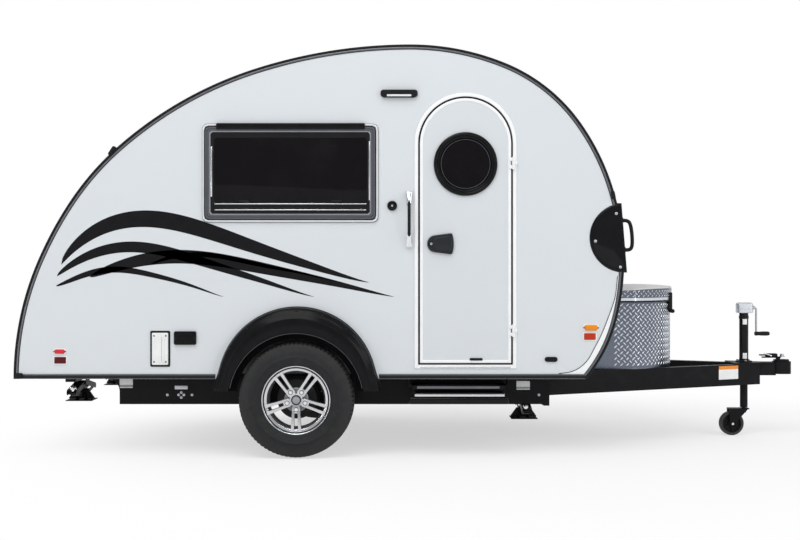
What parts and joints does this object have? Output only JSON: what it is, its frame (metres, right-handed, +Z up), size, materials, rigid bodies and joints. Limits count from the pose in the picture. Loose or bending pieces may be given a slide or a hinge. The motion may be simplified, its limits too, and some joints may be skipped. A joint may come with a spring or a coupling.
{
  "type": "teardrop camping trailer",
  "caption": "Small teardrop camping trailer: rounded white cabin on one axle, side door with porthole, A-frame with gas tub and tongue jack.",
  "frame": {"origin": "on the ground under the middle of the overall box", "axes": "+X towards the coupler, +Y to the left side, +Z up; the door is on the -Y side"},
  "size_m": [4.65, 2, 2.388],
  "materials": {
    "wall_white": "satin white sandwich skin",
    "floor_grey": "matt composite floor",
    "frame_white": "gloss white door frame",
    "window_grey": "grey window frame",
    "smoked_pane": "smoked acrylic",
    "black_plastic": "gloss black moulding",
    "bright_metal": "polished",
    "lamp_lens": "coloured lens",
    "vent_white": "moulded white",
    "chassis_black": "black enamel",
    "zinc": "zinc plated",
    "tread_plate": "bright tread plate",
    "bottle_white": "white enamel",
    "tyre_black": "matt rubber",
    "alloy": "machined alloy",
    "caster_black": "hard rubber",
    "cabinet_wood": "laminated board",
    "seat_fabric": "woven upholstery"
  },
  "bodies": {
    "root": {"side_wall_right": "wall_white", "side_wall_left": "wall_white", "roof_shell": "wall_white", "cabin_floor": "floor_grey", "door_frame": "frame_white", "window_frames": "window_grey", "window_panes": "smoked_pane", "nose_housing": "black_plastic", "grab_handles": "bright_metal", "lamps": "lamp_lens", "roof_vent": "vent_white", "fenders": "black_plastic", "frame_rails": "chassis_black", "crossmembers": "chassis_black", "tongue_beams": "chassis_black", "coupler": "chassis_black", "jack_post": "zinc", "axle": "chassis_black", "gas_tub": "tread_plate", "gas_bottle": "bottle_white", "step_frame": "chassis_black", "furniture": "cabinet_wood", "seat_cushions": "seat_fabric"},
    "door": {"entry_door": "wall_white", "door_window": "black_plastic", "door_pane": "smoked_pane"},
    "wheel_right": {"wheel_right": "alloy", "tyre_right": "tyre_black"},
    "wheel_left": {"wheel_left": "alloy", "tyre_left": "tyre_black"},
    "jack_leg": {"jack_leg": "zinc"},
    "caster_fork": {"caster_fork": "chassis_black"},
    "caster_wheel": {"caster_wheel": "caster_black"},
    "tub_lid": {"tub_lid": "tread_plate"},
    "step_arms_upper": {"step_arms_upper": "chassis_black"},
    "step_tread_upper": {"step_tread_upper": "tread_plate"},
    "step_arms_lower": {"step_arms_lower": "chassis_black"},
    "step_tread_lower": {"step_tread_lower": "tread_plate"},
    "stab_rear_right_upper_outer": {"stab_rear_right_upper_outer": "chassis_black"},
    "stab_rear_right_lower_outer": {"stab_rear_right_lower_outer": "chassis_black"},
    "stab_rear_right_foot": {"stab_rear_right_foot": "chassis_black"},
    "stab_rear_right_upper_inner": {"stab_rear_right_upper_inner": "chassis_black"},
    "stab_rear_right_lower_inner": {"stab_rear_right_lower_inner": "chassis_black"},
    "stab_rear_left_upper_outer": {"stab_rear_left_upper_outer": "chassis_black"},
    "stab_rear_left_lower_outer": {"stab_rear_left_lower_outer": "chassis_black"},
    "stab_rear_left_foot": {"stab_rear_left_foot": "chassis_black"},
    "stab_rear_left_upper_inner": {"stab_rear_left_upper_inner": "chassis_black"},
    "stab_rear_left_lower_inner": {"stab_rear_left_lower_inner": "chassis_black"},
    "stab_front_right_upper_outer": {"stab_front_right_upper_outer": "chassis_black"},
    "stab_front_right_lower_outer": {"stab_front_right_lower_outer": "chassis_black"},
    "stab_front_right_foot": {"stab_front_right_foot": "chassis_black"},
    "stab_front_right_upper_inner": {"stab_front_right_upper_inner": "chassis_black"},
    "stab_front_right_lower_inner": {"stab_front_right_lower_inner": "chassis_black"},
    "stab_front_left_upper_outer": {"stab_front_left_upper_outer": "chassis_black"},
    "stab_front_left_lower_outer": {"stab_front_left_lower_outer": "chassis_black"},
    "stab_front_left_foot": {"stab_front_left_foot": "chassis_black"},
    "stab_front_left_upper_inner": {"stab_front_left_upper_inner": "chassis_black"},
    "stab_front_left_lower_inner": {"stab_front_left_lower_inner": "chassis_black"}
  },
  "joints": [
    {"name": "wheel_right_spin", "type": "hinge", "parent": "root", "child": "wheel_right", "pos_m": [-0.739, -0.89, 0.326], "axis": [0, 1, 0], "continuous": true},
    {"name": "wheel_left_spin", "type": "hinge", "parent": "root", "child": "wheel_left", "pos_m": [-0.739, 0.89, 0.326], "axis": [0, 1, 0], "continuous": true},
    {"name": "door_swing", "type": "hinge", "parent": "root", "child": "door", "pos_m": [0.48, -0.948, 1.2], "axis": [0, 0, 1], "range_deg": [0, 170]},
    {"name": "jack_lift", "type": "slide", "parent": "root", "child": "jack_leg", "axis": [0, 0, 1], "range_m": [-0.1, 0.145]},
    {"name": "caster_swivel", "type": "hinge", "parent": "jack_leg", "child": "caster_fork", "pos_m": [2.03, 0, 0.165], "axis": [0, 0, 1], "continuous": true},
    {"name": "caster_roll", "type": "hinge", "parent": "caster_fork", "child": "caster_wheel", "pos_m": [1.95, 0, 0.076], "axis": [0, 1, 0], "continuous": true},
    {"name": "tub_lid_lift", "type": "hinge", "parent": "root", "child": "tub_lid", "pos_m": [1.111, 0, 0.938], "axis": [0, -1, 0], "range_deg": [0, 70]},
    {"name": "step_unfold", "type": "hinge", "parent": "root", "child": "step_arms_upper", "pos_m": [0.174, -0.89, 0.404], "axis": [-1, 0, 0], "range_deg": [0, 125]},
    {"name": "step_tread_upper_level", "type": "hinge", "parent": "step_arms_upper", "child": "step_tread_upper", "pos_m": [0.174, -0.7605, 0.39267], "axis": [-1, 0, 0], "range_deg": [-125, 0]},
    {"name": "step_arms_lower_swing", "type": "hinge", "parent": "step_tread_upper", "child": "step_arms_lower", "pos_m": [0.174, -0.9105, 0.36167], "axis": [-1, 0, 0], "range_deg": [0, 125]},
    {"name": "step_tread_lower_level", "type": "hinge", "parent": "step_arms_lower", "child": "step_tread_lower", "pos_m": [0.174, -0.78099, 0.35034], "axis": [-1, 0, 0], "range_deg": [-125, 0]},
    {"name": "stab_rear_right_fold", "type": "hinge", "parent": "root", "child": "stab_rear_right_upper_outer", "pos_m": [-2.059, -0.505, 0.379], "axis": [1, 0, 0], "range_deg": [0, 46]},
    {"name": "stab_rear_right_lower_outer_swing", "type": "hinge", "parent": "stab_rear_right_upper_outer", "child": "stab_rear_right_lower_outer", "pos_m": [-2.059, -0.70173, 0.343], "axis": [1, 0, 0], "range_deg": [-92, 0]},
    {"name": "stab_rear_right_foot_level", "type": "hinge", "parent": "stab_rear_right_lower_outer", "child": "stab_rear_right_foot", "pos_m": [-2.059, -0.505, 0.307], "axis": [1, 0, 0], "range_deg": [0, 46]},
    {"name": "stab_rear_right_upper_inner_swing", "type": "hinge", "parent": "root", "child": "stab_rear_right_upper_inner", "pos_m": [-2.059, -0.455, 0.379], "axis": [-1, 0, 0], "range_deg": [0, 46]},
    {"name": "stab_rear_right_lower_inner_swing", "type": "hinge", "parent": "stab_rear_right_upper_inner", "child": "stab_rear_right_lower_inner", "pos_m": [-2.059, -0.25827, 0.343], "axis": [-1, 0, 0], "range_deg": [-92, 0]},
    {"name": "stab_rear_left_fold", "type": "hinge", "parent": "root", "child": "stab_rear_left_upper_outer", "pos_m": [-2.059, 0.505, 0.379], "axis": [-1, 0, 0], "range_deg": [0, 46]},
    {"name": "stab_rear_left_lower_outer_swing", "type": "hinge", "parent": "stab_rear_left_upper_outer", "child": "stab_rear_left_lower_outer", "pos_m": [-2.059, 0.70173, 0.343], "axis": [-1, 0, 0], "range_deg": [-92, 0]},
    {"name": "stab_rear_left_foot_level", "type": "hinge", "parent": "stab_rear_left_lower_outer", "child": "stab_rear_left_foot", "pos_m": [-2.059, 0.505, 0.307], "axis": [-1, 0, 0], "range_deg": [0, 46]},
    {"name": "stab_rear_left_upper_inner_swing", "type": "hinge", "parent": "root", "child": "stab_rear_left_upper_inner", "pos_m": [-2.059, 0.455, 0.379], "axis": [1, 0, 0], "range_deg": [0, 46]},
    {"name": "stab_rear_left_lower_inner_swing", "type": "hinge", "parent": "stab_rear_left_upper_inner", "child": "stab_rear_left_lower_inner", "pos_m": [-2.059, 0.25827, 0.343], "axis": [1, 0, 0], "range_deg": [-92, 0]},
    {"name": "stab_front_right_fold", "type": "hinge", "parent": "root", "child": "stab_front_right_upper_outer", "pos_m": [0.58, -0.505, 0.272], "axis": [1, 0, 0], "range_deg": [0, 24]},
    {"name": "stab_front_right_lower_outer_swing", "type": "hinge", "parent": "stab_front_right_upper_outer", "child": "stab_front_right_lower_outer", "pos_m": [0.58, -0.70173, 0.236], "axis": [1, 0, 0], "range_deg": [-48, 0]},
    {"name": "stab_front_right_foot_level", "type": "hinge", "parent": "stab_front_right_lower_outer", "child": "stab_front_right_foot", "pos_m": [0.58, -0.505, 0.2], "axis": [1, 0, 0], "range_deg": [0, 24]},
    {"name": "stab_front_right_upper_inner_swing", "type": "hinge", "parent": "root", "child": "stab_front_right_upper_inner", "pos_m": [0.58, -0.455, 0.272], "axis": [-1, 0, 0], "range_deg": [0, 24]},
    {"name": "stab_front_right_lower_inner_swing", "type": "hinge", "parent": "stab_front_right_upper_inner", "child": "stab_front_right_lower_inner", "pos_m": [0.58, -0.25827, 0.236], "axis": [-1, 0, 0], "range_deg": [-48, 0]},
    {"name": "stab_front_left_fold", "type": "hinge", "parent": "root", "child": "stab_front_left_upper_outer", "pos_m": [0.58, 0.505, 0.272], "axis": [-1, 0, 0], "range_deg": [0, 24]},
    {"name": "stab_front_left_lower_outer_swing", "type": "hinge", "parent": "stab_front_left_upper_outer", "child": "stab_front_left_lower_outer", "pos_m": [0.58, 0.70173, 0.236], "axis": [-1, 0, 0], "range_deg": [-48, 0]},
    {"name": "stab_front_left_foot_level", "type": "hinge", "parent": "stab_front_left_lower_outer", "child": "stab_front_left_foot", "pos_m": [0.58, 0.505, 0.2], "axis": [-1, 0, 0], "range_deg": [0, 24]},
    {"name": "stab_front_left_upper_inner_swing", "type": "hinge", "parent": "root", "child": "stab_front_left_upper_inner", "pos_m": [0.58, 0.455, 0.272], "axis": [1, 0, 0], "range_deg": [0, 24]},
    {"name": "stab_front_left_lower_inner_swing", "type": "hinge", "parent": "stab_front_left_upper_inner", "child": "stab_front_left_lower_inner", "pos_m": [0.58, 0.25827, 0.236], "axis": [1, 0, 0], "range_deg": [-48, 0]}
  ],
  "couplings": [
    {"joint": "step_tread_upper_level", "follows": "step_unfold", "ratio": -1},
    {"joint": "step_arms_lower_swing", "follows": "step_unfold", "ratio": 1},
    {"joint": "step_tread_lower_level", "follows": "step_unfold", "ratio": -1},
    {"joint": "stab_rear_right_lower_outer_swing", "follows": "stab_rear_right_fold", "ratio": -2},
    {"joint": "stab_rear_right_foot_level", "follows": "stab_rear_right_fold", "ratio": 1},
    {"joint": "stab_rear_right_upper_inner_swing", "follows": "stab_rear_right_fold", "ratio": 1},
    {"joint": "stab_rear_right_lower_inner_swing", "follows": "stab_rear_right_fold", "ratio": -2},
    {"joint": "stab_rear_left_lower_outer_swing", "follows": "stab_rear_left_fold", "ratio": -2},
    {"joint": "stab_rear_left_foot_level", "follows": "stab_rear_left_fold", "ratio": 1},
    {"joint": "stab_rear_left_upper_inner_swing", "follows": "stab_rear_left_fold", "ratio": 1},
    {"joint": "stab_rear_left_lower_inner_swing", "follows": "stab_rear_left_fold", "ratio": -2},
    {"joint": "stab_front_right_lower_outer_swing", "follows": "stab_front_right_fold", "ratio": -2},
    {"joint": "stab_front_right_foot_level", "follows": "stab_front_right_fold", "ratio": 1},
    {"joint": "stab_front_right_upper_inner_swing", "follows": "stab_front_right_fold", "ratio": 1},
    {"joint": "stab_front_right_lower_inner_swing", "follows": "stab_front_right_fold", "ratio": -2},
    {"joint": "stab_front_left_lower_outer_swing", "follows": "stab_front_left_fold", "ratio": -2},
    {"joint": "stab_front_left_foot_level", "follows": "stab_front_left_fold", "ratio": 1},
    {"joint": "stab_front_left_upper_inner_swing", "follows": "stab_front_left_fold", "ratio": 1},
    {"joint": "stab_front_left_lower_inner_swing", "follows": "stab_front_left_fold", "ratio": -2}
  ]
}
